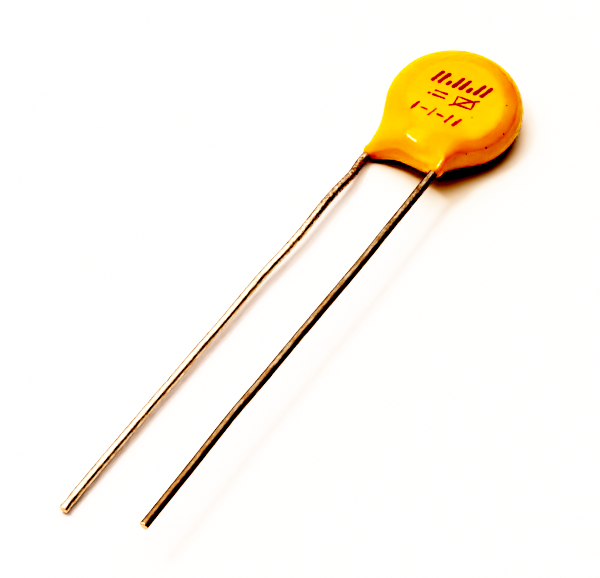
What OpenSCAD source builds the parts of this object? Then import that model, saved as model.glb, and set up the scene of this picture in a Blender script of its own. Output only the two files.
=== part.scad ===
// Radial-lead metal-oxide varistor, 7 mm disc class: a ceramic disc with a fired electrode on
// each face, one lead soldered to each electrode, and a dipped epoxy coat over the whole.
// It lies flat: z = 0 is the surface under it, the disc is towards +Y and the leads run to -Y.
// The origin is the middle of the footprint.
// All lengths are in millimetres.

/* [Ceramic element] */
// Diameter of the ceramic disc
disc_d = 7.0; // [6.6:0.1:7.0]
// Thickness of the ceramic disc
disc_t = 1.5; // [1.3:0.05:1.5]
// Diameter of the fired electrode on each face
electrode_d = 6.2; // [6.0:0.1:6.4]
// Thickness of each fired electrode
electrode_t = 0.02; // [0.015:0.005:0.03]
// Radius of the solder fillet along each lead
solder_r = 0.55; // [0.48:0.01:0.58]

/* [Leads] */
// Diameter of the lead wire
lead_d = 0.6; // [0.5:0.05:0.6]
// Distance between the leads where they leave the coat
pitch = 5.0; // [4.9:0.05:5.1]
// Length of the last straight stretch of the lower lead
back_tail = 19.9; // [5:0.1:25]
// Length of the last straight stretch of the upper lead
front_tail = 3.8; // [3:0.1:10]
// Inward slant of each lead where it lies on its electrode, in degrees
lead_slant = 16; // [14:0.5:18]

/* [Coat] */
// Outer radius of the coat round the disc
coat_r = 4.2; // [4.1:0.05:4.4]
// Half of the coat's thickness at the edge of its flat faces
coat_h = 1.42; // [1.40:0.01:1.50]
// How far the middle of each face stands above the edge of the face
crown = 0.08; // [0:0.01:0.1]
// Height of the soft ridge over each buried lead
ridge = 0.09; // [0.08:0.01:0.12]
// Width of the rounding round the rim
rim_w = 1.6; // [1.4:0.05:1.7]
// Radius of the coat where it ends on a lead
horn_r = 0.42; // [0.40:0.01:0.46]
// Turn of the disc about the point midway between the lead exits, in degrees
skew = 4.3; // [0:0.1:5]

/* [Hidden] */
lead_r = lead_d / 2;
half = pitch / 2;
gap = 0.03;                                        // solder film between a lead and its electrode
lead_w = disc_t / 2 + electrode_t + gap + lead_r;  // height of a lead's axis above the disc's middle
mid_z = 1.616;                                     // height of the disc's middle above the surface
home = [0.396, -15.76, 0];                         // middle of the whole part's footprint, the origin
pivot_y = -5.3;                                    // the lead exits lie along this line
start_y = -5.0;                                    // where a lead's inner and outer runs meet
inner_len = 6.0;                                   // length of a lead's inner run
fillet_len = 2.9;                                  // length of the solder fillet between its round ends

// outline of the coat: the disc, two tapered horns and the web between them
horn_ax = 1.6;
horn_ay = -3.1;
horn_ar = 1.18;
horn_by = -5.0;
web_x = 1.3;
web_y = -4.15;
web_r = 0.8;
horn_blend = 2.2;
web_blend = 0.85;
// thickness of the coat: the rim's profile power, and where the neck thins
prof = 2.2;
thin_y0 = -3.0;
thin_y1 = -5.6;
twist_y0 = -2.0;
tip_h = 0.45;
tip_w = 0.26;
sag = 0.28;     // how far the lower face would bulge in its middle
flat_h = 1.615; // the flat that it rests on, below the disc's middle
ridge_w = 0.7;
seed_y = -1.6; // the centre that the outline's rays start from

// ---- shape functions, in the disc's own axes: x across, y along, w up from the disc's middle
function step3(t) = let (c = min(1, max(0, t))) c * c * (3 - 2 * c);
function blend(a, b, k) = let (h = max(k - abs(a - b), 0) / k) min(a, b) - h * h * h * k / 6;
// signed depth of a tapered bar from (ax, ay) to (bx, by); negative inside
function bar(x, y, ax, ay, bx, by, ra, rb) =
    let (dx = bx - ax, dy = by - ay,
         t = min(1, max(0, ((x - ax) * dx + (y - ay) * dy) / (dx * dx + dy * dy))),
         r = ra + (rb - ra) * t, ex = x - ax - t * dx, ey = y - ay - t * dy)
    (ex * ex + ey * ey - r * r) / (2 * r);
// signed depth inside the coat's outline; negative inside
function outline(x, y) =
    let (disc = norm([x, y]) - coat_r,
         web = bar(x, y, -web_x, web_y, web_x, web_y, web_r, web_r),
         left = bar(x, y, -horn_ax, horn_ay, -half, horn_by, horn_ar, horn_r),
         right = bar(x, y, horn_ax, horn_ay, half, horn_by, horn_ar, horn_r))
    blend(blend(disc, web, web_blend), blend(left, right, 1), horn_blend);
// height of the coat's mid-surface: level in the disc, twisted in the neck to meet both leads
function middle(x, y) =
    lead_w * sin(60 * min(1.5, max(-1.5, x / 2.5))) / sin(60)
    * step3((twist_y0 - y) / (twist_y0 - thin_y1));
function thin(y) = step3((thin_y0 - y) / (thin_y0 - thin_y1));
function swell(x, y) =
    let (xr = half - tan(lead_slant) * max(y + 4.7, 0), e = (x - xr) / ridge_w)
    ridge * exp(-e * e) * step3((1.6 - y) / 2) * (1 - thin(y));
// half thickness on the side given by s = 1 (upper) or -1 (lower); the lower side ends on the flat
function depth(x, y, s) =
    let (g = thin(y), c = min(1, norm([x, y]) / 3.6),
         full = (coat_h + (s > 0 ? crown : sag) * (1 - c * c)) * (1 - g) + tip_h * g
                + swell(s * x, y),
         h = s > 0 ? full : blend(full, flat_h + middle(x, y), 0.12),
         rl = rim_w * (1 - g) + tip_w * g,
         u = min(1, max(0, (rl + outline(x, y)) / rl)))
    h * pow(1 - pow(u, prof), 1 / prof);

// ---- the coat as one closed skin of rings, from the outline in to the middle
function edge(a, lo = 2, hi = 7.5, n = 26) =
    n == 0 ? (lo + hi) / 2
    : let (m = (lo + hi) / 2) outline(m * sin(a), seed_y - m * cos(a)) < 0
        ? edge(a, m, hi, n - 1) : edge(a, lo, m, n - 1);
side = concat([for (a = [0:6:18]) a], [for (a = [22:2:46]) a], [for (a = [50.75:4.75:178]) a]);
rays = concat([for (a = side) a], [180], [for (i = [len(side) - 1:-1:1]) 360 - side[i]]);
function near_horn(a) = let (b = a > 180 ? 360 - a : a) step3(1 - abs(b - 34) / 16);
// distances in from the outline, as parts of each ray
function rim(a, e) = let (w = rim_w - (rim_w - 0.7) * near_horn(a))
    concat([for (b = [15:15:75]) 1 - w * (1 - cos(b)) / e],
           [for (i = [0:5]) (1 - w / e) * (1 - i / 6)]);
ray_n = len(rays);
edges = [for (a = rays) edge(a)];
parts = [for (j = [0:ray_n - 1]) rim(rays[j], edges[j])];
ring_n = len(parts[0]);
function spot(j, f) = [f * edges[j] * sin(rays[j]), seed_y - f * edges[j] * cos(rays[j])];
function lift(p, s) = [p[0], p[1], middle(p[0], p[1]) + s * depth(p[0], p[1], s)];
skin_points = concat(
    [for (j = [0:ray_n - 1]) let (p = spot(j, 1)) [p[0], p[1], middle(p[0], p[1])]],
    [for (i = [0:ring_n - 1]) for (j = [0:ray_n - 1]) lift(spot(j, parts[j][i]), 1)],
    [for (i = [0:ring_n - 1]) for (j = [0:ray_n - 1]) lift(spot(j, parts[j][i]), -1)],
    [lift([0, seed_y], 1), lift([0, seed_y], -1)]);
// index of point j on ring i of side s; ring 0 is the shared outline
function at(i, j, s) = (i == 0 ? 0 : ray_n * (i + (s > 0 ? 0 : ring_n))) + j % ray_n;
skin_faces = concat(
    [for (i = [0:ring_n - 1]) for (j = [0:ray_n - 1]) each
        [[at(i, j, 1), at(i + 1, j, 1), at(i + 1, j + 1, 1)],
         [at(i, j, 1), at(i + 1, j + 1, 1), at(i, j + 1, 1)],
         [at(i, j, -1), at(i + 1, j + 1, -1), at(i + 1, j, -1)],
         [at(i, j, -1), at(i, j + 1, -1), at(i + 1, j + 1, -1)]]],
    [for (j = [0:ray_n - 1]) each
        [[at(ring_n, j, 1), len(skin_points) - 2, at(ring_n, j + 1, 1)],
         [at(ring_n, j, -1), at(ring_n, j + 1, -1), len(skin_points) - 1]]]);

// ---- placing; the leads' own axes have the middle of the two exits on x = 0
module at_home() translate(-home) children();
module in_disc_axes() {
    translate([0, pivot_y, mid_z]) rotate([0, 0, -skew]) translate([0, -pivot_y, 0]) children();
}

// ---- leads: straight rods along the lead's axis, joined at each corner by a ball that
// covers both their ends; the rods stop short of the corner and do not meet each other
function unit(a, b) = (b - a) / norm(b - a);
function back_off(p, i) = (i == 0 || i == len(p) - 1) ? 0
    : lead_r * tan(acos(min(1, unit(p[i - 1], p[i]) * unit(p[i], p[i + 1]))) / 2) + 0.03;
module along(a, d) translate(a) rotate([0, acos(d[2] / norm(d)), atan2(d[1], d[0])]) children();
module rod(a, b) along(a, b - a) cylinder(h = norm(b - a), r = lead_r, $fn = 48);
module wire(p) {
    for (i = [0:len(p) - 2])
        rod(p[i] + back_off(p, i) * unit(p[i], p[i + 1]),
            p[i + 1] - back_off(p, i + 1) * unit(p[i], p[i + 1]));
    for (i = [1:len(p) - 2])
        along(p[i], p[i + 1] - p[i - 1])
            sphere(r = norm([lead_r, back_off(p, i)]) + 0.004, $fn = 48);
}
front_z = mid_z + lead_w;
back_z = mid_z - lead_w;
front_turn = lead_slant - skew;
back_turn = lead_slant + skew;
front_bend = [half - 0.03, start_y, front_z];
back_bend = [-half + 0.02, start_y, back_z];
front_end = front_bend + inner_len * [-sin(front_turn), cos(front_turn), 0];
back_end = back_bend + inner_len * [sin(back_turn), cos(back_turn), 0];
front_path = [front_end, front_bend, [half - 0.03, -6.6, front_z + 0.015],
              [half + 0.11, -13, front_z + 0.125], [half + 0.11, -27, front_z + 0.355],
              [half + 0.27, -31.6, front_z + 0.435], [half + 0.27, -31.6 - front_tail, front_z + 0.435]];
// the lower lead rises a little outside the coat and comes down to the surface at its tip
back_path = [back_end, back_bend, [-half + 0.04, -5.6, back_z + 0.034],
             [-half + 0.21, -7.4, back_z + 0.364], [-half + 0.2, -9.6, back_z + 0.539],
             [-half + 0.24, -12.3, back_z + 0.49], [-half + 0.07, -15.79, back_z + 0.36],
             [-half - 0.18, -15.79 - back_tail, lead_r + 0.007]];
module front_wire() wire(front_path);
module back_wire() wire(back_path);

// a half-round fillet along the lead's end on its electrode
module fillet_bar(end, turn, side) {
    base = mid_z + side * (disc_t / 2 + electrode_t);
    intersection() {
        translate([end[0], end[1], base]) rotate([0, 0, turn]) rotate([90, 0, 0]) {
            sphere(r = solder_r, $fn = 48);
            cylinder(h = fillet_len, r = solder_r, $fn = 48);
            translate([0, 0, fillet_len]) sphere(r = solder_r, $fn = 48);
        }
        translate([-4, -4, side > 0 ? base : base - 2]) cube([8, 8, 2]);
    }
}
module front_fillet() fillet_bar(front_end, front_turn, 1);
module back_fillet() fillet_bar(back_end, -back_turn, -1);

module element_disc() in_disc_axes() cylinder(h = disc_t, r = disc_d / 2, center = true, $fn = 96);
module electrode(side) in_disc_axes()
    translate([0, 0, side > 0 ? disc_t / 2 : -disc_t / 2 - electrode_t])
        cylinder(h = electrode_t, r = electrode_d / 2, $fn = 96);

// ---- nodes
module coating() color([1.0, 0.76, 0.0]) at_home()
    difference() {
        in_disc_axes() polyhedron(points = skin_points, faces = skin_faces, convexity = 4);
        element_disc();
        electrode(1);
        electrode(-1);
        front_fillet();
        back_fillet();
        front_wire();
        back_wire();
    }
module ceramic_disc() color([0.25, 0.25, 0.27]) at_home() element_disc();
module front_electrode() color([0.85, 0.85, 0.86]) at_home() electrode(1);
module back_electrode() color([0.85, 0.85, 0.86]) at_home() electrode(-1);
module front_solder() color([0.72, 0.72, 0.74]) at_home()
    difference() { front_fillet(); front_wire(); }
module back_solder() color([0.72, 0.72, 0.74]) at_home()
    difference() { back_fillet(); back_wire(); }
module front_lead() color([0.62, 0.54, 0.44]) at_home() front_wire();
module back_lead() color([0.62, 0.54, 0.44]) at_home() back_wire();

coating();
ceramic_disc();
front_electrode();
back_electrode();
front_solder();
back_solder();
front_lead();
back_lead();
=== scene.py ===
import math

import bpy
import numpy as np
from mathutils import Matrix, Vector


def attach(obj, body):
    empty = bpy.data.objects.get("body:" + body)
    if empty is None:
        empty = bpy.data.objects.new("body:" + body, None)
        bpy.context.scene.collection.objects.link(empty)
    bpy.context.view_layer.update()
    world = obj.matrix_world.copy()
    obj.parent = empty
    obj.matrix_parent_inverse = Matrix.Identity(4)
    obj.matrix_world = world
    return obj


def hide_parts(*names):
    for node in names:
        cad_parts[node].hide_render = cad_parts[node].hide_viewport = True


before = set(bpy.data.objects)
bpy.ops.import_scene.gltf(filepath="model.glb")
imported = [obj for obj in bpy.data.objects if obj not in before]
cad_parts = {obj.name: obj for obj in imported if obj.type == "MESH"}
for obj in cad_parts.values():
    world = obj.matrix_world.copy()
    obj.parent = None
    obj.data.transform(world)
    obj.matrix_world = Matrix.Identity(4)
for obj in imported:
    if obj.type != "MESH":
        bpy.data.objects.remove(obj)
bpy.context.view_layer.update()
MM = 0.001

# --------------------------------------------------------------------------------------
# The part's own dimensions, in mm, as in the CAD source
# --------------------------------------------------------------------------------------
DISC_T, ELECTRODE_T, GAP, LEAD_R = 1.5, 0.02, 0.03, 0.3
WIRE_R = 0.276          # the wire itself, a little under its nominal 0.3
COAT_R, COAT_H, CROWN, RIDGE, RIM_W, HORN_R, SKEW = 4.2, 1.42, 0.08, 0.03, 1.6, 0.42, 4.3
HALF, LEAD_SLANT = 2.5, 16.0
LEAD_W = DISC_T / 2 + ELECTRODE_T + GAP + LEAD_R
MID_Z, HOME_X, HOME_Y, PIVOT_Y, START_Y, INNER = 1.616, 0.396, -15.76, -5.3, -5.0, 6.0
HORN_AX, HORN_AY, HORN_AR, HORN_BY = 1.6, -3.1, 1.18, -5.0
WEB_X, WEB_Y, WEB_R, HORN_BLEND, WEB_BLEND = 1.3, -4.15, 0.8, 2.2, 0.85
PROF, THIN0, THIN1, TWIST0, TWIST1, TIP_H, TIP_W = 2.2, -2.98, -5.87, -1.50, -5.44, 0.34, 0.22
SAG, FLAT_H, RIDGE_W, SEED_Y = 0.28, 1.615, 0.7, -1.6


def step3(t):
    t = np.clip(t, 0, 1)
    return t * t * (3 - 2 * t)


def blend(a, b, k):
    h = np.maximum(k - np.abs(a - b), 0) / k
    return np.minimum(a, b) - h ** 3 * k / 6


def bar(x, y, ax, ay, bx, by, ra, rb):
    dx, dy = bx - ax, by - ay
    t = np.clip(((x - ax) * dx + (y - ay) * dy) / (dx * dx + dy * dy), 0, 1)
    r = ra + (rb - ra) * t
    return ((x - ax - t * dx) ** 2 + (y - ay - t * dy) ** 2 - r * r) / (2 * r)


def outline(x, y):
    disc = np.hypot(x, y) - COAT_R
    web = bar(x, y, -WEB_X, WEB_Y, WEB_X, WEB_Y, WEB_R, WEB_R)
    left = bar(x, y, -HORN_AX, HORN_AY, -HALF, HORN_BY, HORN_AR, HORN_R)
    right = bar(x, y, HORN_AX, HORN_AY, HALF, HORN_BY, HORN_AR, HORN_R)
    return blend(blend(disc, web, WEB_BLEND), blend(left, right, 1.0), HORN_BLEND)


def middle(x, y):
    s = np.sin(np.radians(60 * np.clip(x / 2.5, -1.5, 1.5))) / math.sin(math.radians(60))
    # the web stays level with the disc for longer than the two horns do
    q = np.clip(x / 2.5, -1.35, 1.35)
    s = s + (1 - step3((-4.56 - y) / 0.57)) * (q * (0.35 + 0.95 * q * q - 0.30 * q ** 4) - s)
    return LEAD_W * s * step3((TWIST0 - y) / (TWIST0 - TWIST1))


def depth(x, y, s):
    t0 = THIN0 - np.exp(-(x / 2.35) ** 2)
    g = step3((t0 - y) / (t0 - THIN1))
    c = np.minimum(1, np.hypot(x, y) / 3.6)
    xr = HALF - math.tan(math.radians(LEAD_SLANT)) * np.maximum(y + 4.7, 0)
    swell = RIDGE * np.exp(-(((s * x) - xr) / RIDGE_W) ** 2) * step3((1.6 - y) / 2) * (1 - step3((-4.0 - y) / 0.94))
    # small humps: between the leads where the neck falls away, and over each lead near its exit
    swell = swell + 0.125 * np.exp(-(((s * x) - xr) / 0.5) ** 2 - ((y + 4.47) / 0.4) ** 2)
    if s > 0:
        swell = swell + 0.15 * np.exp(-((x + 0.60) / 0.75) ** 2 - ((y + 4.24) / 0.84) ** 2)
    h = (COAT_H + (CROWN if s > 0 else SAG) * (1 - c * c)) * (1 - g) + TIP_H * g + swell
    if s < 0:
        h = blend(h, FLAT_H + middle(x, y), 0.12)
    narrow = 0.44 * np.exp(-(x / 1.8) ** 2) * step3((-2.6 - y) / 1.2) if s > 0 else 0.0
    rl = RIM_W * (1 - narrow) * (1 - g) + TIP_W * g
    u = np.clip((rl + outline(x, y)) / rl, 0, 1)
    return h * (1 - u ** PROF) ** (1 / PROF)


def to_frame(p):
    """Disc axes (x across, y along, w up from the disc's middle) to the row frame, in mm."""
    a = math.radians(-SKEW)
    x, y = p[..., 0], p[..., 1] - PIVOT_Y
    return np.stack([x * math.cos(a) - y * math.sin(a) - HOME_X,
                     x * math.sin(a) + y * math.cos(a) + PIVOT_Y - HOME_Y,
                     p[..., 2] + MID_Z], -1)


# --------------------------------------------------------------------------------------
# Small tools
# --------------------------------------------------------------------------------------
def lattice(p, cell, seed):
    """Smooth value noise from -1 to 1 at points p (mm), with one random value per cell corner."""
    q = p / cell
    i = np.floor(q).astype(np.int64)
    f = q - i
    f = f * f * (3 - 2 * f)

    def value(ix, iy, iz):
        h = (ix * 374761393 + iy * 668265263 + iz * 2147483647 + seed * 1274126177) & 0xFFFFFFFF
        h = ((h ^ (h >> 13)) * 1274126177) & 0xFFFFFFFF
        h = (h ^ (h >> 16)) & 0xFFFF
        return h / 32767.5 - 1.0

    out = 0
    for a in (0, 1):
        for b in (0, 1):
            for c in (0, 1):
                w = ((f[..., 0] if a else 1 - f[..., 0]) * (f[..., 1] if b else 1 - f[..., 1])
                     * (f[..., 2] if c else 1 - f[..., 2]))
                out = out + w * value(i[..., 0] + a, i[..., 1] + b, i[..., 2] + c)
    return out


def make_mesh(name, verts_mm, faces, materials, smooth=True, face_slots=None):
    me = bpy.data.meshes.new(name)
    me.from_pydata([tuple(v) for v in (np.asarray(verts_mm) * MM).tolist()], [], faces)
    me.validate()
    for m in materials:
        me.materials.append(m)
    if face_slots is not None:
        me.polygons.foreach_set("material_index", face_slots)
    me.polygons.foreach_set("use_smooth", [smooth] * len(me.polygons))
    me.update()
    ob = bpy.data.objects.new(name, me)
    bpy.context.scene.collection.objects.link(ob)
    return ob


class Tree:
    """A material's node tree, with short ways to make nodes."""

    def __init__(self, name):
        self.mat = bpy.data.materials.new(name)
        self.mat.use_nodes = True
        self.nt = self.mat.node_tree
        self.nt.nodes.clear()
        self.out = self.nt.nodes.new("ShaderNodeOutputMaterial")
        self.shader = self.nt.nodes.new("ShaderNodeBsdfPrincipled")
        self.link(self.shader.outputs[0], self.out.inputs["Surface"])

    def link(self, a, b):
        self.nt.links.new(a, b)

    def put(self, socket, value):
        if isinstance(value, bpy.types.NodeSocket):
            self.link(value, socket)
        else:
            socket.default_value = value

    def set(self, **values):
        for key, value in values.items():
            self.put(self.shader.inputs[key.replace("_", " ")], value)

    def math(self, op, a, b=0.0, c=0.0, clamp=False):
        n = self.nt.nodes.new("ShaderNodeMath")
        n.operation = op
        n.use_clamp = clamp
        for k, v in enumerate((a, b, c)):
            if k < len(n.inputs):
                self.put(n.inputs[k], v)
        return n.outputs[0]

    def vec(self, op, a, b=(0, 0, 0), scale=None):
        n = self.nt.nodes.new("ShaderNodeVectorMath")
        n.operation = op
        self.put(n.inputs[0], a)
        if op not in ("LENGTH", "SCALE", "NORMALIZE", "ABSOLUTE"):
            self.put(n.inputs[1], b)
        if scale is not None:
            self.put(n.inputs["Scale"], scale)
        return n.outputs["Value"] if op in ("LENGTH", "DOT_PRODUCT", "DISTANCE") else n.outputs[0]

    def coords_mm(self):
        n = self.nt.nodes.new("ShaderNodeTexCoord")
        return self.vec("SCALE", n.outputs["Object"], scale=1000.0)

    def split(self, v):
        n = self.nt.nodes.new("ShaderNodeSeparateXYZ")
        self.link(v, n.inputs[0])
        return n.outputs

    def join(self, x, y, z):
        n = self.nt.nodes.new("ShaderNodeCombineXYZ")
        for k, v in enumerate((x, y, z)):
            self.put(n.inputs[k], v)
        return n.outputs[0]

    def noise(self, v, scale, detail=2.0, rough=0.5, distortion=0.0):
        n = self.nt.nodes.new("ShaderNodeTexNoise")
        self.link(v, n.inputs["Vector"])
        n.inputs["Scale"].default_value = scale
        n.inputs["Detail"].default_value = detail
        n.inputs["Roughness"].default_value = rough
        n.inputs["Distortion"].default_value = distortion
        return n

    def ramp(self, value, stops, mode="LINEAR"):
        n = self.nt.nodes.new("ShaderNodeValToRGB")
        n.color_ramp.interpolation = mode
        els = n.color_ramp.elements
        while len(els) > 1:
            els.remove(els[-1])
        els[0].position, els[0].color = stops[0][0], (*stops[0][1], 1)
        for pos, col in stops[1:]:
            e = els.new(pos)
            e.color = (*col, 1)
        self.link(value, n.inputs[0])
        return n.outputs[0]

    def span(self, value, lo, hi, out_lo=0.0, out_hi=1.0, smooth=True):
        n = self.nt.nodes.new("ShaderNodeMapRange")
        n.interpolation_type = "SMOOTHSTEP" if smooth else "LINEAR"
        self.put(n.inputs["Value"], value)
        for key, v in (("From Min", lo), ("From Max", hi), ("To Min", out_lo), ("To Max", out_hi)):
            n.inputs[key].default_value = v
        return n.outputs["Result"]

    def mix(self, factor, a, b, mode="MIX"):
        n = self.nt.nodes.new("ShaderNodeMix")
        n.data_type = "RGBA"
        n.blend_type = mode
        self.put(n.inputs["Factor"], factor)
        for key, v in (("A", a), ("B", b)):
            s = [i for i in n.inputs if i.name == key and i.type == "RGBA"][0]
            self.put(s, (*v, 1) if isinstance(v, tuple) and len(v) == 3 else v)
        return [o for o in n.outputs if o.type == "RGBA"][0]

    def bump(self, height, distance, strength=1.0, normal=None):
        n = self.nt.nodes.new("ShaderNodeBump")
        n.inputs["Distance"].default_value = distance
        n.inputs["Strength"].default_value = strength
        self.put(n.inputs["Height"], height)
        if normal is not None:
            self.link(normal, n.inputs["Normal"])
        return n.outputs[0]


# --------------------------------------------------------------------------------------
# Coat material: cured epoxy with a generic ink mark and a few specks
# --------------------------------------------------------------------------------------
def capsules(t, p, strokes):
    """Signed distance in mm from p to the nearest stroke (ax, ay, bx, by, half width)."""
    best = None
    for ax, ay, bx, by, w in strokes:
        pa = t.vec("SUBTRACT", p, (ax, ay, 0))
        ba = np.array([bx - ax, by - ay])
        n2 = float(ba @ ba)
        if n2 > 1e-9:
            h = t.math("MULTIPLY", t.vec("DOT_PRODUCT", pa, (ba[0] / n2, ba[1] / n2, 0)), 1.0, clamp=True)
            along = t.vec("SCALE", t.join(float(ba[0]), float(ba[1]), 0.0), scale=h)
            d = t.vec("LENGTH", t.vec("SUBTRACT", pa, along))
        else:
            d = t.vec("LENGTH", pa)
        d = t.math("SUBTRACT", d, w)
        best = d if best is None else t.math("MINIMUM", best, d)
    return best


def row(cx, cy, slope, strokes):
    """Strokes given along a row (u along it, v up, lean of the strokes built in) in disc axes."""
    a = math.radians(slope)
    out = []
    for u0, v0, u1, v1, w in strokes:
        out.append((cx + u0 * math.cos(a) - v0 * math.sin(a), cy + u0 * math.sin(a) + v0 * math.cos(a),
                    cx + u1 * math.cos(a) - v1 * math.sin(a), cy + u1 * math.sin(a) + v1 * math.cos(a), w))
    return out


BOLD = row(0.0, 0.93, 14, [
    (-1.86, -0.40, -1.54, 0.36, 0.125), (-1.42, -0.40, -1.10, 0.36, 0.125), (-0.92, -0.40, -0.82, -0.16, 0.125),
    (-0.50, -0.40, -0.18, 0.36, 0.125), (-0.06, -0.40, 0.26, 0.36, 0.125), (0.44, -0.40, 0.54, -0.16, 0.125),
    (0.88, -0.40, 1.20, 0.36, 0.125), (1.32, -0.40, 1.64, 0.36, 0.125)])
FINE = row(-0.05, -0.42, 13, [
    (-1.28, -0.16, -1.28, -0.16, 0.095),
    (-0.98, 0.18, -0.28, 0.18, 0.075), (-0.98, -0.18, -0.28, -0.18, 0.075),
    (0.42, -0.30, 1.52, -0.30, 0.068), (1.52, -0.30, 1.52, 0.30, 0.068),
    (1.52, 0.30, 0.42, 0.30, 0.068), (0.42, 0.30, 0.42, -0.30, 0.068), (0.22, -0.50, 1.72, 0.50, 0.065)])
LAST = row(0.02, -1.86, 9, [
    (-1.50, -0.30, -1.30, 0.30, 0.072), (-1.00, 0.0, -0.62, 0.0, 0.062), (-0.36, -0.30, -0.16, 0.30, 0.075),
    (0.12, 0.0, 0.50, 0.0, 0.062), (0.76, -0.30, 0.96, 0.30, 0.08), (1.32, -0.32, 1.54, 0.30, 0.10)])
SPECKS = [(2.92, 1.34, 0.050), (1.91, -0.78, 0.055), (3.88, -0.23, 0.04), (3.63, -1.63, 0.045), (3.50, -2.60, 0.055),
          (-0.9, 2.6, 0.02), (1.2, 2.9, 0.018), (-2.6, -0.6, 0.02), (0.6, -3.1, 0.02), (3.1, -2.9, 0.03)]


def painted_shading_patch(t, s, x, y, wide, tall):
    """A soft round mask for a patch of painted shading on the coat, painted lighter in some places and darker in
    others: 1 in its middle, 0 outside.
    """
    u = t.math("DIVIDE", t.math("SUBTRACT", s[0], x), wide)
    v = t.math("DIVIDE", t.math("SUBTRACT", s[1], y), tall)
    far = t.math("SQRT", t.math("ADD", t.math("MULTIPLY", u, u), t.math("MULTIPLY", v, v)))
    return t.span(far, 1.0, 0.1)


def coat_material():
    t = Tree("coat_epoxy")
    p = t.coords_mm()
    # disc axes on the surface, from the row frame
    a = math.radians(SKEW)
    q = t.vec("ADD", p, (HOME_X, HOME_Y - PIVOT_Y, -MID_Z))
    s = t.split(q)
    x = t.math("SUBTRACT", t.math("MULTIPLY", s[0], math.cos(a)), t.math("MULTIPLY", s[1], math.sin(a)))
    y = t.math("ADD", t.math("ADD", t.math("MULTIPLY", s[0], math.sin(a)), t.math("MULTIPLY", s[1], math.cos(a))), PIVOT_Y)
    flat = t.join(x, y, 0.0)
    upper = t.span(s[2], 0.55, 0.75)
    # the epoxy's colour: slightly uneven at random; painted shading over it: a touch more orange to the right,
    # darker at the far left, lighter on the shaded lower right side, two patches painted lighter and one darker
    cloud = t.noise(p, 0.55, 3.0, 0.55).outputs["Fac"]
    fine = t.noise(p, 7.0, 3.0, 0.6).outputs["Fac"]
    # painted shade: a touch more orange toward the right, and darker at the far left neck
    base = t.mix(t.span(s[0], -1.5, 3.6), (0.71, 0.392, 0.016), (0.71, 0.386, 0.015))
    base = t.mix(t.span(s[0], -1.6, -3.4), base, (0.69, 0.374, 0.015))
    # painted light: the lower right side wall, which faces away from the lamps, is made lighter and yellower
    side = t.math("MULTIPLY", t.span(s[2], 1.50, 0.90), t.math("MULTIPLY", t.span(s[0], -1.0, 2.5), t.span(s[1], 6.4, 4.2)))
    base = t.mix(side, base, (0.80, 0.490, 0.022))
    # painted light on two round patches and painted shade on the middle one, evening out how the lamps fall on the
    # face and neck
    base = t.mix(painted_shading_patch(t, s, 3.7, 6.0, 1.1, 2.6), base, (0.76, 0.455, 0.018))
    base = t.mix(painted_shading_patch(t, s, 1.5, 1.1, 1.2, 1.7), base, (0.69, 0.362, 0.014))
    base = t.mix(painted_shading_patch(t, s, -0.7, 0.0, 2.0, 1.2), base, (0.78, 0.450, 0.018))
    base = t.mix(t.span(cloud, 0.3, 0.7, 0.0, 0.25), base, (0.69, 0.405, 0.016))
    base = t.mix(t.span(fine, 0.25, 0.75, 0.0, 0.20), base, (0.60, 0.33, 0.01))
    # ink: a rough-edged mark, dark where it is thick and red where it is thin
    rough = t.noise(p, 9.0, 2.0, 0.6)
    shake = t.vec("SCALE", t.vec("SUBTRACT", rough.outputs["Color"], (0.5, 0.5, 0.5)), scale=0.085)
    at = t.vec("ADD", flat, shake)
    at2 = t.split(at)
    at = t.join(at2[0], at2[1], 0.0)
    weight = t.noise(t.vec("ADD", p, (3.1, 7.7, 1.3)), 1.6, 2.0, 0.5).outputs["Fac"]
    bold, thin, last = capsules(t, at, BOLD), capsules(t, at, FINE), capsules(t, at, LAST)
    swell = t.span(weight, 0.3, 0.7, -0.022, 0.022)
    dark = t.math("SUBTRACT", t.math("MINIMUM", bold, thin), swell)
    light = t.math("SUBTRACT", last, swell)
    ink = t.math("MINIMUM", dark, light)
    mask = t.math("MULTIPLY", t.span(ink, 0.012, -0.012), upper)
    heart = t.span(ink, 0.0, -0.06)
    ink_dark = t.mix(heart, (0.37, 0.10, 0.02), (0.235, 0.03, 0.03))
    ink_light = t.mix(heart, (0.50, 0.15, 0.01), (0.41, 0.06, 0.01))
    ink_light = t.mix(t.span(weight, 0.48, 0.62), ink_light, (0.26, 0.03, 0.03))
    is_light = t.span(t.math("SUBTRACT", dark, light), -0.01, 0.01)
    ink_col = t.mix(is_light, ink_dark, ink_light)
    col = t.mix(t.math("MULTIPLY", mask, 0.97), base, ink_col)
    dots = capsules(t, flat, [(sx, sy, sx, sy, r) for sx, sy, r in SPECKS])
    dot = t.math("MULTIPLY", t.span(dots, 0.012, -0.02, 0.0, 0.75), t.span(s[2], -0.2, 0.1))
    col = t.mix(dot, col, (0.16, 0.045, 0.0))
    # surface: dipped and cured, faint orange peel, ink a little duller
    peel = t.noise(p, 2.2, 2.0, 0.5).outputs["Fac"]
    micro = t.noise(p, 14.0, 3.0, 0.6).outputs["Fac"]
    bump = t.bump(peel, 0.0000060, 1.0)
    bump = t.bump(micro, 0.0000008, 1.0, bump)
    gloss = t.span(fine, 0.3, 0.7, 0.135, 0.175)
    gloss = t.math("ADD", gloss, t.math("MULTIPLY", mask, 0.14))
    t.set(Base_Color=col, Roughness=gloss, Normal=bump)
    t.shader.inputs["IOR"].default_value = 1.56
    t.shader.inputs["Subsurface Weight"].default_value = 0.60
    t.shader.inputs["Subsurface Radius"].default_value = (1.0, 0.55, 0.06)
    t.shader.inputs["Subsurface Scale"].default_value = 0.0008
    return t.mat


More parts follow.
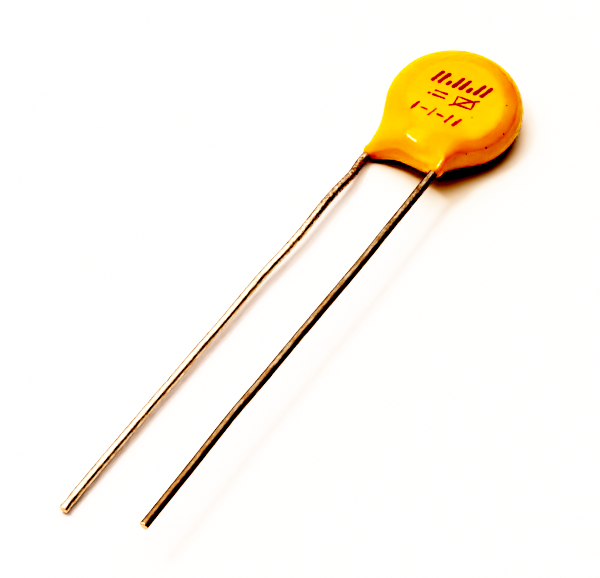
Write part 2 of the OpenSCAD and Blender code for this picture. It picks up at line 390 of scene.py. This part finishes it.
# --------------------------------------------------------------------------------------
# Metal materials
# --------------------------------------------------------------------------------------
def tin_material(name, rough_from, rough_to, warm, dull, bright, rough_lo, worn, near, far, spotty):
    """Hot-dipped tin on copper wire. Pits and flecks grow from rough_from to rough_to along Y (mm)."""
    t = Tree(name)
    p = t.coords_mm()
    s = t.split(p)
    long = t.join(t.math("MULTIPLY", s[0], 1.0), t.math("MULTIPLY", s[1], 0.16), t.math("MULTIPLY", s[2], 1.0))
    streak = t.noise(long, 9.0, 4.0, 0.65).outputs["Fac"]
    patch = t.noise(p, 1.7, 3.0, 0.6).outputs["Fac"]
    drawn = t.join(t.math("MULTIPLY", s[0], 1.0), t.math("MULTIPLY", s[1], 0.45), t.math("MULTIPLY", s[2], 1.0))
    fleck = t.noise(drawn, 12.0, 3.0, 0.7).outputs["Fac"]
    zone = t.span(s[1], rough_from, rough_to)
    spots = t.math("ADD", 0.4 * spotty, t.math("MULTIPLY", zone, 0.6 * spotty))
    col = t.mix(t.span(streak, 0.35, 0.65), dull, bright)
    col = t.mix(t.span(patch, 0.42, 0.66, 0.0, warm), col, (0.36, 0.21, 0.10))
    col = t.mix(t.span(s[1], 2.5, 6.5, 0.0, near), col, (0.40, 0.33, 0.26))
    col = t.mix(t.span(s[1], -6.0, -19.0, 0.0, far), col, (0.35, 0.28, 0.21))
    col = t.mix(t.math("MULTIPLY", spots, t.span(fleck, 0.52, 0.66)), col, (0.86, 0.78, 0.66))
    col = t.mix(t.math("MULTIPLY", spots, t.span(fleck, 0.50, 0.38)), col, worn)
    # a painted dark reflection: a thin brownish line along the upper-left flank of the wire
    way = t.nt.nodes.new("ShaderNodeTexCoord")
    flank = t.split(way.outputs["Normal"])
    flank = t.math("ADD", t.math("MULTIPLY", flank[0], -0.9255), t.math("MULTIPLY", flank[2], 0.379))
    painted_dark_edge = t.math("MULTIPLY", t.span(flank, 0.76, 0.90), t.span(streak, 0.25, 0.55, 0.55, 1.0))
    col = t.mix(painted_dark_edge, col, (0.20, 0.165, 0.14))
    rough = t.math("ADD", t.span(patch, 0.3, 0.7, rough_lo, rough_lo + 0.08), t.math("MULTIPLY", zone, 0.04))
    b = t.bump(streak, 0.000006, 1.0)
    b = t.bump(t.math("MULTIPLY", fleck, spots), 0.000007, 1.0, b)
    t.set(Base_Color=col, Roughness=rough, Normal=b)
    t.shader.inputs["Metallic"].default_value = 1.0
    return t.mat


def copper_material():
    t = Tree("cut_copper")
    p = t.coords_mm()
    n = t.noise(p, 12.0, 3.0, 0.6).outputs["Fac"]
    col = t.mix(t.span(n, 0.35, 0.65), (0.62, 0.40, 0.27), (0.86, 0.66, 0.50))
    t.set(Base_Color=col, Roughness=t.span(n, 0.3, 0.7, 0.32, 0.5), Normal=t.bump(n, 0.00001))
    t.shader.inputs["Metallic"].default_value = 1.0
    return t.mat


def inner_material(name, dark, light, scale, metal, rough):
    t = Tree(name)
    p = t.coords_mm()
    n = t.noise(p, scale, 4.0, 0.6).outputs["Fac"]
    t.set(Base_Color=t.mix(t.span(n, 0.3, 0.7), dark, light), Roughness=t.span(n, 0.3, 0.7, rough, rough + 0.15),
          Normal=t.bump(n, 0.000004))
    t.shader.inputs["Metallic"].default_value = metal
    return t.mat


COAT = coat_material()
TIN_BACK = tin_material("tinned_wire_lower", -2.0, 7.0, 0.20, (0.62, 0.52, 0.42), (0.84, 0.74, 0.61), 0.45, (0.20, 0.14, 0.09), 0.80, 0.0, 0.75)
# painted shade: the upper lead is the same tinned wire as the lower one, given a much darker base colour for how it
# is lit; it also darkens toward its tip
TIN_FRONT = tin_material("tinned_wire_upper", 2.0, 9.0, 0.25, (0.32, 0.275, 0.22), (0.47, 0.42, 0.35), 0.60, (0.22, 0.165, 0.12), 0.0, 0.85, 0.40)
COPPER = copper_material()
for node, mat in (
        ("ceramic_disc", inner_material("ceramic_body", (0.03, 0.03, 0.034), (0.06, 0.06, 0.066), 6.0, 0.0, 0.6)),
        ("front_electrode", inner_material("silver_paste", (0.62, 0.62, 0.62), (0.78, 0.78, 0.77), 8.0, 1.0, 0.45)),
        ("back_electrode", None), ("front_solder", inner_material("solder_flow", (0.42, 0.42, 0.43), (0.56, 0.56, 0.57), 3.0, 1.0, 0.25)),
        ("back_solder", None)):
    mat = mat or last_mat
    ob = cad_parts[node]
    ob.data.materials.clear()
    ob.data.materials.append(mat)
    last_mat = mat


# --------------------------------------------------------------------------------------
# The coat, as one fine closed skin of the CAD's own shape
# --------------------------------------------------------------------------------------
def edge_of(angles):
    lo, hi = np.full(len(angles), 2.0), np.full(len(angles), 7.5)
    for _ in range(40):
        m = (lo + hi) / 2
        inside = outline(m * np.sin(angles), SEED_Y - m * np.cos(angles)) < 0
        lo, hi = np.where(inside, m, lo), np.where(inside, hi, m)
    return (lo + hi) / 2


def coat_mesh(n_rays=560, n_rim=26, n_face=30):
    a = np.linspace(0, 2 * np.pi, 20001)[:-1]
    e = edge_of(a)
    px, py = e * np.sin(a), SEED_Y - e * np.cos(a)
    seg = np.hypot(np.roll(px, -1) - px, np.roll(py, -1) - py)
    s = np.concatenate([[0], np.cumsum(seg)])
    want = np.arange(n_rays) / n_rays * s[-1]
    rays = np.interp(want, s, np.append(a, 2 * np.pi))
    e = edge_of(rays)
    b = np.minimum(rays, 2 * np.pi - rays)
    near = step3(1 - np.abs(np.degrees(b) - 34) / 16)
    w = (RIM_W - (RIM_W - 0.7) * near)
    turn = np.radians(np.linspace(0, 90, n_rim + 1))[1:]
    parts = [1 - w * (1 - math.cos(k)) / e for k in turn]
    # the first step in from the outline is made finer, so that the rim stays round
    parts += [(1 - w / e) * (1 - i / n_face) for i in range(1, n_face)]
    rows_xy = [(np.ones(n_rays))] + parts
    verts, faces = [], []

    def lift(f, side):
        x, y = f * e * np.sin(rays), SEED_Y - f * e * np.cos(rays)
        m = middle(x, y)
        return np.stack([x, y, m if side == 0 else m + side * depth(x, y, side)], -1)

    verts.append(lift(rows_xy[0], 0))
    for side in (1, -1):
        for f in parts:
            verts.append(lift(f, side))
    n = len(parts)
    top = np.array([[0.0, SEED_Y, float(middle(0.0, SEED_Y) + depth(np.array(0.0), np.array(SEED_Y), 1))],
                    [0.0, SEED_Y, float(middle(0.0, SEED_Y) - depth(np.array(0.0), np.array(SEED_Y), -1))]])
    v = np.vstack(verts + [top])

    def at(i, j, side):
        j = j % n_rays
        return j if i == 0 else n_rays * (i + (0 if side > 0 else n)) + j

    for side in (1, -1):
        for i in range(n):
            for j in range(n_rays):
                q = (at(i, j, side), at(i, j + 1, side), at(i + 1, j + 1, side), at(i + 1, j, side))
                faces.append(q if side > 0 else q[::-1])
        c = len(v) - (2 if side > 0 else 1)
        for j in range(n_rays):
            q = (at(n, j, side), at(n, j + 1, side), c)
            faces.append(q if side > 0 else q[::-1])
    return to_frame(v), faces


v, faces = coat_mesh()
# a dipped skin is never perfectly even
wave = lattice(v, 1.6, 5) * 0.010 + lattice(v, 0.7, 9) * 0.003
centre = to_frame(np.array([0.0, -1.0, 0.0]))
away = v - centre
away = away / np.linalg.norm(away, axis=1)[:, None]
v = v - away * (0.013 + wave)[:, None]
v[:, 2] = np.maximum(v[:, 2], 0.0012)
coat = make_mesh("epoxy_coat", v, faces, [COAT])
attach(coat, "root")
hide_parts("coating")


# --------------------------------------------------------------------------------------
# The leads, as wires swept along their bent path, with sheared ends
# --------------------------------------------------------------------------------------
def curve(points, spacing):
    """A centripetal Catmull-Rom curve through the points, resampled evenly."""
    p = np.asarray(points, float)
    p = np.vstack([2 * p[0] - p[1], p, 2 * p[-1] - p[-2]])
    out = []
    for i in range(1, len(p) - 2):
        p0, p1, p2, p3 = p[i - 1:i + 3]
        t0 = 0.0
        t1 = t0 + np.linalg.norm(p1 - p0) ** 0.5
        t2 = t1 + np.linalg.norm(p2 - p1) ** 0.5
        t3 = t2 + np.linalg.norm(p3 - p2) ** 0.5
        t = np.linspace(t1, t2, 80, endpoint=False)[:, None]
        a1 = (t1 - t) / (t1 - t0) * p0 + (t - t0) / (t1 - t0) * p1
        a2 = (t2 - t) / (t2 - t1) * p1 + (t - t1) / (t2 - t1) * p2
        a3 = (t3 - t) / (t3 - t2) * p2 + (t - t2) / (t3 - t2) * p3
        b1 = (t2 - t) / (t2 - t0) * a1 + (t - t0) / (t2 - t0) * a2
        b2 = (t3 - t) / (t3 - t1) * a2 + (t - t1) / (t3 - t1) * a3
        out.append((t2 - t) / (t2 - t1) * b1 + (t - t1) / (t2 - t1) * b2)
    c = np.vstack(out + [p[-2][None]])
    s = np.concatenate([[0], np.cumsum(np.linalg.norm(np.diff(c, axis=0), axis=1))])
    n = int(round(s[-1] / spacing))
    want = np.linspace(0, s[-1], n + 1)
    return np.stack([np.interp(want, s, c[:, k]) for k in range(3)], -1)


def wire(name, path, shape, materials, sides=40):
    """Sweeps a round section along path (mm). shape(points, s_from_tip, angle) returns the radius and
    a sideways and upward scale; the last rings close the sheared end in the second material."""
    n = len(path)
    tangent = np.gradient(path, axis=0)
    tangent /= np.linalg.norm(tangent, axis=1)[:, None]
    up = np.array([0.0, 0.0, 1.0])
    side = np.cross(tangent, up)
    side /= np.linalg.norm(side, axis=1)[:, None]
    lift = np.cross(side, tangent)
    s = np.concatenate([[0], np.cumsum(np.linalg.norm(np.diff(path, axis=0), axis=1))])
    left = s[-1] - s
    ang = np.arange(sides) / sides * 2 * np.pi
    ca, sa = np.cos(ang)[None, :, None], np.sin(ang)[None, :, None]
    ring = path[:, None, :] + WIRE_R * (side[:, None, :] * ca + lift[:, None, :] * sa)
    r, wide, tall, back = shape(ring, left[:, None], ang[None, :])
    ring = (path[:, None, :] + (side[:, None, :] * ca * np.asarray(wide)[..., None]
                                + lift[:, None, :] * sa * np.asarray(tall)[..., None]) * np.asarray(r)[..., None]
            - tangent[:, None, :] * np.asarray(back)[..., None])
    v = ring.reshape(-1, 3)
    faces, slots = [], []
    for i in range(n - 1):
        for j in range(sides):
            k = (j + 1) % sides
            faces.append((i * sides + j, i * sides + k, (i + 1) * sides + k, (i + 1) * sides + j))
            slots.append(0)
    # inner end: a plain flat cap
    c0 = len(v)
    v = np.vstack([v, path[0][None]])
    for j in range(sides):
        faces.append((c0, (j + 1) % sides, j))
        slots.append(0)
    # sheared end: rings that shrink to a ridge
    last = ring[-1]
    mid = last.mean(0)
    base = (n - 1) * sides
    prev = [base + j for j in range(sides)]
    for f, push in ((0.93, 0.020), (0.80, 0.034), (0.55, 0.040), (0.25, 0.036)):
        flat = (last - mid)
        across = flat @ side[-1]
        high = flat @ lift[-1]
        new = (mid + np.outer(across * (0.25 + 0.75 * f), side[-1]) + np.outer(high * f, lift[-1])
               + tangent[-1] * push)
        new = new + tangent[-1] * 0.010 * lattice(new, 0.10, 31)[:, None]
        start = len(v)
        v = np.vstack([v, new])
        cur = [start + j for j in range(sides)]
        for j in range(sides):
            k = (j + 1) % sides
            faces.append((prev[j], prev[k], cur[k], cur[j]))
            slots.append(1)
        prev = cur
    c1 = len(v)
    v = np.vstack([v, (mid + tangent[-1] * 0.034)[None]])
    for j in range(sides):
        k = (j + 1) % sides
        faces.append((prev[j], prev[k], c1))
        slots.append(1)
    return make_mesh(name, v, faces, materials, face_slots=slots)


def shift(points):
    return np.asarray(points, float) - np.array([HOME_X, HOME_Y, 0.0])


FRONT_Z, BACK_Z = MID_Z + LEAD_W, MID_Z - LEAD_W
ft, bt = math.radians(LEAD_SLANT - SKEW), math.radians(LEAD_SLANT + SKEW)
fb, bb = np.array([HALF - 0.03, START_Y, FRONT_Z]), np.array([-HALF + 0.02, START_Y, BACK_Z])
f_dir, b_dir = np.array([-math.sin(ft), math.cos(ft), 0.0]), np.array([math.sin(bt), math.cos(bt), 0.0])
front_path = curve(shift([fb + f_dir * 5.98, fb + f_dir * 4.0, fb + f_dir * 2.0, fb + f_dir * 0.55, fb + np.array([0.0, -0.35, 0]),
    (2.498, -6.800, 2.735), (2.531, -8.100, 2.760), (2.574, -10.800, 2.810), (2.613, -12.100, 2.834), (2.639, -13.400, 2.856),
    (2.645, -14.600, 2.877), (2.645, -18.500, 2.942), (2.653, -21.000, 2.983), (2.674, -23.400, 3.022), (2.658, -25.900, 3.061),
    (2.672, -27.100, 3.080), (2.709, -28.300, 3.098), (2.785, -30.700, 3.130), (2.830, -33.000, 3.148), (2.868, -35.345, 3.158)]), 0.06)
back_path = curve(shift([bb + b_dir * 5.98, bb + b_dir * 4.0, bb + b_dir * 2.0, bb + b_dir * 0.55, bb + np.array([0.0, -0.35, -0.004]),
    (-2.410, -6.089, 0.638), (-2.262, -7.015, 0.822), (-2.267, -8.340, 0.992), (-2.289, -9.698, 1.054), (-2.257, -11.010, 1.046),
    (-2.230, -12.301, 1.006), (-2.266, -13.581, 0.960), (-2.335, -14.854, 0.910), (-2.414, -16.125, 0.864), (-2.447, -18.677, 0.793),
    (-2.438, -19.956, 0.762), (-2.492, -22.425, 0.717), (-2.519, -24.901, 0.679), (-2.544, -27.182, 0.646), (-2.590, -32.128, 0.543),
    (-2.599, -34.660, 0.471), (-2.590, -35.664, 0.443)]), 0.06)


def front_shape(p, left, ang):
    y = p[..., 1]
    near = step3((y - 8.6) / 1.4) * step3((11.0 - y) / 0.3)
    dent = 0.004 * lattice(p, 0.5, 3) + 0.0025 * lattice(p * np.array([1, 0.25, 1]), 0.12, 4) + near * 0.003 * lattice(p, 0.11, 12)
    end = step3(1 - left / 0.45)
    r = WIRE_R - 0.004 + np.minimum(dent, 0.005)
    back = 0.10 * step3(1 - left / 0.25) * (0.5 + 0.5 * np.sin(ang + 0.6))
    return r, 1.0 + 0.02 * end, 1.0 - 0.13 * end + 0 * ang, back


def back_shape(p, left, ang):
    y = p[..., 1]
    near = step3((y - 6.6) / 1.6) * step3((11.0 - y) / 0.3)
    dent = (0.004 * lattice(p, 0.5, 23) + 0.003 * lattice(p * np.array([1, 0.25, 1]), 0.12, 24)
            + near * (0.010 * lattice(p, 0.17, 25) + 0.005 * lattice(p, 0.08, 26) - 0.003))
    scar = -0.05 * np.exp(-((y + 9.60) / 0.16) ** 2) * np.exp(-((ang - 0.55) / 0.5) ** 2)
    end = step3(1 - left / 0.55)
    pinch = -0.030 * np.exp(-((left - 0.62) / 0.16) ** 2) * np.exp(-((ang - 0.3) / 0.9) ** 2)
    r = WIRE_R - 0.004 + np.minimum(dent, 0.006) + scar + pinch
    back = 0.05 * step3(1 - left / 0.2) * (0.5 + 0.5 * np.sin(ang))
    return r, 1.0 + 0.07 * end, 1.0 - 0.10 * end + 0 * ang, back


front = wire("upper_lead", front_path, front_shape, [TIN_FRONT, COPPER])
back = wire("lower_lead", back_path, back_shape, [TIN_BACK, COPPER])
for ob, node in ((front, "front_lead"), (back, "back_lead")):
    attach(ob, "root")
    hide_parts(node)

# --------------------------------------------------------------------------------------
# Floor, light and camera
# --------------------------------------------------------------------------------------
floor_t = Tree("pale_paper")
fp = floor_t.coords_mm()
fn = floor_t.noise(fp, 1.5, 3.0, 0.6).outputs["Fac"]
pale = floor_t.mix(floor_t.span(fn, 0.3, 0.7), (0.870, 0.858, 0.842), (0.885, 0.873, 0.858))
floor_t.set(Base_Color=pale)
floor_t.shader.inputs["Roughness"].default_value = 1.0
floor_t.shader.inputs["Specular IOR Level"].default_value = 0.0
bpy.ops.mesh.primitive_circle_add(vertices=96, radius=3.0, fill_type="NGON", location=(0, 0, 0))
floor = bpy.context.object
floor.name = "floor"
floor.data.materials.append(floor_t.mat)

AIM = Vector((-0.7887, 0.477, 0.0)) * MM
AZ, EL, ROLL, DIST, F_PX = (math.radians(34.7408), math.radians(54.3141), math.radians(-0.4035), 0.220, 3744.06)
back_v = Vector((math.sin(AZ) * math.cos(EL), -math.cos(AZ) * math.cos(EL), math.sin(EL)))
right_v = Vector((math.cos(AZ), math.sin(AZ), 0.0))
up_v = back_v.cross(right_v)
right_r = right_v * math.cos(ROLL) + up_v * math.sin(ROLL)
up_r = -right_v * math.sin(ROLL) + up_v * math.cos(ROLL)
cam_data = bpy.data.cameras.new("camera")
cam = bpy.data.objects.new("camera", cam_data)
bpy.context.scene.collection.objects.link(cam)
m = Matrix.Identity(4)
for k in range(3):
    m[k][0], m[k][1], m[k][2], m[k][3] = right_r[k], up_r[k], back_v[k], (AIM + back_v * DIST)[k]
cam.matrix_world = m
cam_data.sensor_width = 36.0
cam_data.lens = 36.0 * F_PX / 600.0
cam_data.clip_start, cam_data.clip_end = 0.01, 20.0
bpy.context.scene.camera = cam


def area(name, direction, distance, size, power, color, shape="DISK", size_y=None, target=Vector((0, 0.005, 0))):
    d = Vector(direction).normalized()
    ld = bpy.data.lights.new(name, "AREA")
    ld.shape = shape
    ld.size = size
    if size_y:
        ld.size_y = size_y
    ld.energy = power
    ld.color = color
    ob = bpy.data.objects.new(name, ld)
    bpy.context.scene.collection.objects.link(ob)
    ob.location = target + d * distance
    ob.rotation_mode = "QUATERNION"
    ob.rotation_quaternion = d.to_track_quat("Z", "Y")
    ob.visible_camera = False
    return ob


# A small lamp high on the left inside a soft one, a weak low fill from the right front;
# the room glows overhead and is bright to the left
LAMP = (-0.36, -0.18, 0.915)
area("key", LAMP, 0.60, 0.095, 0.76, (1.0, 1.0, 1.0))
area("soft", LAMP, 0.60, 0.520, 0.56, (1.0, 1.0, 1.0))
area("fill", (0.74, -0.62, 0.27), 0.60, 0.46, 0.32, (1.0, 1.0, 1.0))

world = bpy.data.worlds.new("room")
bpy.context.scene.world = world
world.use_nodes = True
wn = world.node_tree
wn.nodes.clear()
wo = wn.nodes.new("ShaderNodeOutputWorld")
seen, room = wn.nodes.new("ShaderNodeBackground"), wn.nodes.new("ShaderNodeBackground")
seen.inputs[0].default_value = (1.0, 1.0, 1.0, 1)
seen.inputs[1].default_value = 1.3
room.inputs[1].default_value = 1.08
way, axes, side = (wn.nodes.new("ShaderNodeTexCoord"), wn.nodes.new("ShaderNodeSeparateXYZ"),
                   wn.nodes.new("ShaderNodeMapRange"))
side.interpolation_type = "SMOOTHSTEP"
side.inputs["From Min"].default_value, side.inputs["From Max"].default_value = 0.1, -0.5
side.inputs["To Min"].default_value = 0.02
wn.links.new(way.outputs["Generated"], axes.inputs[0])
wn.links.new(axes.outputs[0], side.inputs["Value"])
above, glow, both = wn.nodes.new("ShaderNodeVectorMath"), wn.nodes.new("ShaderNodeMapRange"), wn.nodes.new("ShaderNodeMath")
above.operation = "DOT_PRODUCT"
above.inputs[1].default_value = (-0.05, 0.235, 0.971)
glow.interpolation_type = "SMOOTHSTEP"
glow.inputs["From Min"].default_value, glow.inputs["From Max"].default_value = 0.80, 0.985
glow.inputs["To Max"].default_value = 2.85
both.operation = "ADD"
wn.links.new(way.outputs["Generated"], above.inputs[0])
wn.links.new(above.outputs["Value"], glow.inputs["Value"])
wn.links.new(side.outputs[0], both.inputs[0])
wn.links.new(glow.outputs[0], both.inputs[1])
wn.links.new(both.outputs[0], room.inputs[0])
lp, mx = wn.nodes.new("ShaderNodeLightPath"), wn.nodes.new("ShaderNodeMixShader")
wn.links.new(lp.outputs["Is Camera Ray"], mx.inputs[0])
wn.links.new(room.outputs[0], mx.inputs[1])
wn.links.new(seen.outputs[0], mx.inputs[2])
wn.links.new(mx.outputs[0], wo.inputs[0])

# Tone: a strong, warm print of the picture, with deep shadows and clear whites
tone = bpy.context.scene.view_settings
tone.view_transform = "Standard"
tone.use_curve_mapping = True
levels = tone.curve_mapping
BLACK, GAIN, POWER, TOP = (0.26, 0.255, 0.250), (3.75, 3.05, 2.80), (1.70, 1.67, 1.65), 4.5
levels.black_level = BLACK
levels.white_level = [b + TOP / g for b, g in zip(BLACK, GAIN)]
for channel, power in enumerate(POWER):
    points = levels.curves[channel].points
    for at in (0.015, 0.035, 0.06, 0.09, 0.13, 0.18, 0.24, 0.31, 0.40, 0.52, 0.70):
        points.new(at, 1 - math.exp(-(TOP * at) ** power))
levels.update()
